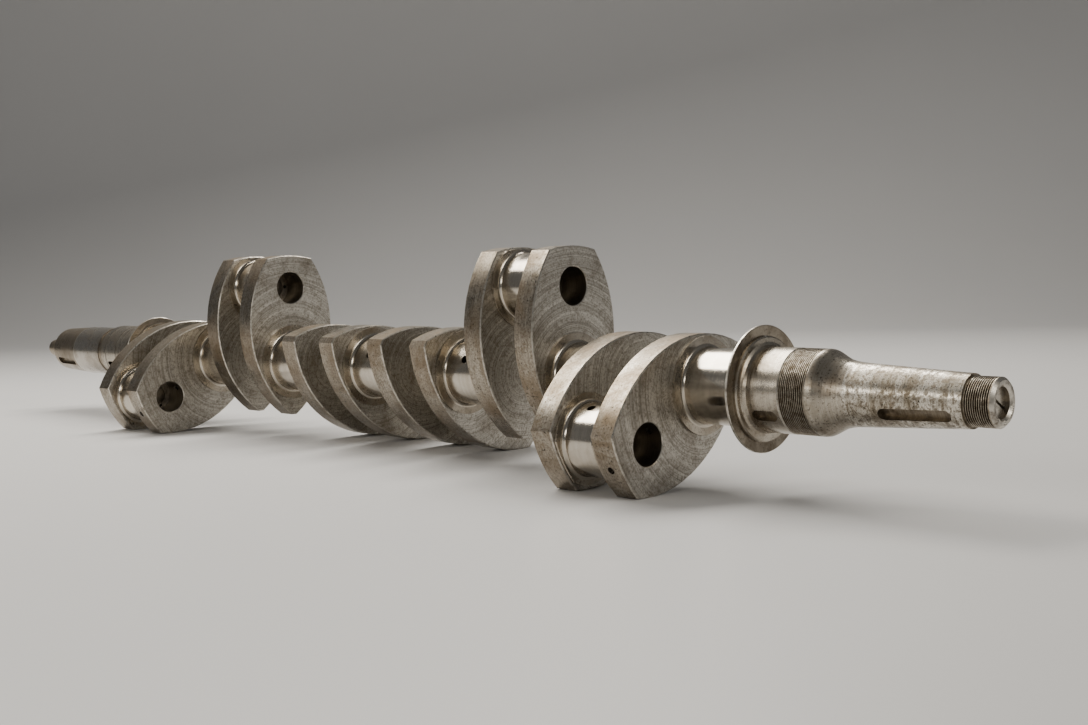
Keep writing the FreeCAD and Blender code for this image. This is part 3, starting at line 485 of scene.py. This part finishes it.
def nose_region(x, radius, outward):
    """Everything ahead of the first web. x is the distance ahead of it."""
    if x < HUB_START:
        return main_journal_region(x, radius)
    if x < SEAT_END:
        return "slot" if x > SEAT_SLOT_START and in_slot(radius, SEAT_SLOT_FLOOR, outward) else "turned"
    if x < LOCK_THREAD_START:
        return "edge"
    if x < LOCK_THREAD_END:
        return "lock_thread"
    if x < FLARE_START:
        return "edge"
    if x < FLARE_END:
        return "flare"
    if x < NOSE_TAPER_END:
        wall = NOSE_TAPER_RADIUS - (x - FLARE_END) * NOSE_TAPER_SLOPE
        return "slot" if in_slot(radius, wall - KEYWAY_DEPTH, outward) else "nose"
    # Deeper than NOSE_BORE_LIT_FROM the bore wall is painted near black as painted shade; nearer the
    # mouth it keeps the reamed look.
    if radius < NOSE_BORE_RADIUS:
        return "pin_bore" if x > NOSE_BORE_LIT_FROM else "bore"
    return "edge" if radius < NOSE_FACE_RADIUS or x > NOSE_CHAMFER_START else "nose_thread"


def tail_region(x, radius, outward):
    """Everything behind the last web. x is the distance behind it."""
    if x < TAIL_HUB_START:
        return main_journal_region(x, radius)
    if x < RING_LAND_END:
        # The ring grooves below the land are painted near black: painted shade in the grooves, with
        # oil.
        return "bore" if x > RING_LAND_START and radius < RING_LAND_RADIUS else "turned"
    if x < UNDERCUT_END:
        return "slot"
    if x < TAIL_SEAT_START:
        return "tail"
    if x < TAIL_SEAT_END:
        return "seat"
    if x < TAIL_TAPER_START:
        return "edge"
    wall = TAIL_TAPER_RADIUS - (x - TAIL_TAPER_START) * TAIL_TAPER_SLOPE
    return "slot" if x < TAIL_KEYWAY_END and in_slot(radius, wall - KEYWAY_DEPTH, outward) else "tail"


def region(centre, normal):
    x, y, z = centre / MM
    radius = math.hypot(y, z)
    outward = (normal.y * y + normal.z * z) / max(radius, 0.1)
    if x > FIRST_WEB + 0.02:
        return nose_region(x - FIRST_WEB, radius, outward)
    if x < -FIRST_WEB - 0.02:
        return tail_region(-FIRST_WEB - x, radius, outward)
    return throw_region(x, y, z, abs(normal.x))


def dress_crankshaft(shaft):
    mesh = shaft.data
    names = list(LOOKS)
    mesh.materials.clear()
    for name in names:
        mesh.materials.append(LOOKS[name])
    for face in mesh.polygons:
        face.material_index = names.index(region(face.center, face.normal))


def dress_piece(piece, material):
    piece.data.materials.clear()
    piece.data.materials.append(material)


def dress_thrower(piece, disc):
    """Browned faces, and a rim rubbed bright."""
    dress_piece(piece, disc)
    piece.data.materials.append(LOOKS["edge"])
    for face in piece.data.polygons:
        face.material_index = 0 if abs(face.normal.x) > 0.9 else 1


def dress_fitted_pieces():
    # The crankpin plugs are coloured darker than the other turned pieces so they read faint in their
    # bores: painted shade, with oil.
    plug = small_piece("plug_oil_and_painted_shade", rgb(0.27, 0.24, 0.195), 0.36)
    screw = small_piece("screw_black", rgb(0.07, 0.06, 0.05), 0.30)
    nose_plug = small_piece("nose_plug_worn", rgb(0.62, 0.58, 0.51), 0.22)
    iron = ring_iron()
    disc = thrower_disc()
    for name, piece in frame["nodes"].items():
        if name == "crankshaft":
            continue
        if "thrower" in name:
            dress_thrower(piece, disc)
        elif name == "tail_spigot":
            dress_piece(piece, LOOKS["tail"])
        elif name == "nose_plug":
            dress_piece(piece, nose_plug)
        elif "lock_screw" in name:
            dress_piece(piece, screw)
        elif name.startswith("seal_ring"):
            dress_piece(piece, iron)
        else:
            dress_piece(piece, plug)


# ---------------------------------------------------------------- stage, lights and camera

def make_floor():
    """A pale sheet that lies flat and sweeps up behind the shaft."""
    low = cad_box[0].z
    front = -2.6
    start = 1.3
    bend = 0.9
    wall_top = 3.2
    half_width = 4.0
    profile = [(front, low), (start, low)]
    for step in range(1, 17):
        angle = math.radians(90 * step / 16)
        profile.append((start + bend * math.sin(angle), low + bend * (1 - math.cos(angle))))
    profile.append((start + bend, low + wall_top))
    away = Vector((-0.70, 0.714, 0))
    side = Vector((0.714, 0.70, 0))
    points = []
    for reach, height in profile:
        for half in (-half_width, half_width):
            spot = away * reach + side * half
            points.append((spot.x, spot.y, height))
    faces = [(2 * i, 2 * i + 1, 2 * i + 3, 2 * i + 2) for i in range(len(profile) - 1)]
    mesh = bpy.data.meshes.new("floor")
    mesh.from_pydata(points, [], faces)
    for face in mesh.polygons:
        face.use_smooth = True
    floor = bpy.data.objects.new("floor", mesh)
    bpy.context.scene.collection.objects.link(floor)
    look = Look("floor_pale", 0.0)
    tone = look.noise(look.place, 3.0, 3.0, 0.5)
    look.set("Base Color", look.mix(tone, rgb(0.58, 0.575, 0.57), rgb(0.62, 0.615, 0.61)))
    look.shader.inputs["Roughness"].default_value = 0.42
    floor.data.materials.append(look.material)


def aim(thing, target):
    direction = Vector(target) - thing.location
    thing.rotation_euler = direction.to_track_quat("-Z", "Y").to_euler()


def softbox(name, place, target, width, height, power, colour=(1.0, 1.0, 1.0)):
    data = bpy.data.lights.new(name, "AREA")
    data.shape = "RECTANGLE"
    data.size = width
    data.size_y = height
    data.energy = power
    data.color = colour
    lamp = bpy.data.objects.new(name, data)
    lamp.location = place
    aim(lamp, target)
    bpy.context.scene.collection.objects.link(lamp)
    return lamp


def make_lights():
    warm = (1.0, 0.955, 0.88)
    softbox("key", (-0.55, 0.15, 1.05), (0, 0, 0), 1.7, 0.45, 34.0, warm)
    softbox("front", (0.0, -1.6, 0.55), (0.05, 0, 0), 1.5, 0.35, 9.0, warm)
    softbox("nose_side", (1.7, 0.15, 0.75), (0.25, 0, 0), 0.6, 0.7, 11.0, warm)
    world = bpy.data.worlds.new("studio")
    bpy.context.scene.world = world
    world.use_nodes = True
    background = world.node_tree.nodes["Background"]
    background.inputs["Color"].default_value = rgb(0.135, 0.135, 0.135)
    background.inputs["Strength"].default_value = 1.0


def make_camera():
    """The viewer's place: low, ahead of the nose and to its right."""
    yaw = math.radians(45.152)
    pitch = math.radians(4.089)
    roll = math.radians(-1.276)
    level = math.cos(pitch)
    forward = Vector((-math.cos(yaw) * level, math.sin(yaw) * level, -math.sin(pitch)))
    right = forward.cross(Vector((0, 0, 1))).normalized()
    up = right.cross(forward)
    level_right = right * math.cos(roll) + up * math.sin(roll)
    level_up = up * math.cos(roll) - right * math.sin(roll)
    turn = Matrix((level_right, level_up, -forward)).transposed().to_4x4()
    data = bpy.data.cameras.new("camera")
    data.sensor_width = 36.0
    data.lens = 45.25
    data.clip_start = 0.02
    camera = bpy.data.objects.new("camera", data)
    camera.matrix_world = Matrix.Translation(Vector((0.6691, -0.5368, 0.0617))) @ turn
    bpy.context.scene.collection.objects.link(camera)
    bpy.context.scene.camera = camera


make_camera()
make_floor()
make_lights()
dress_crankshaft(frame["nodes"]["crankshaft"])
dress_fitted_pieces()
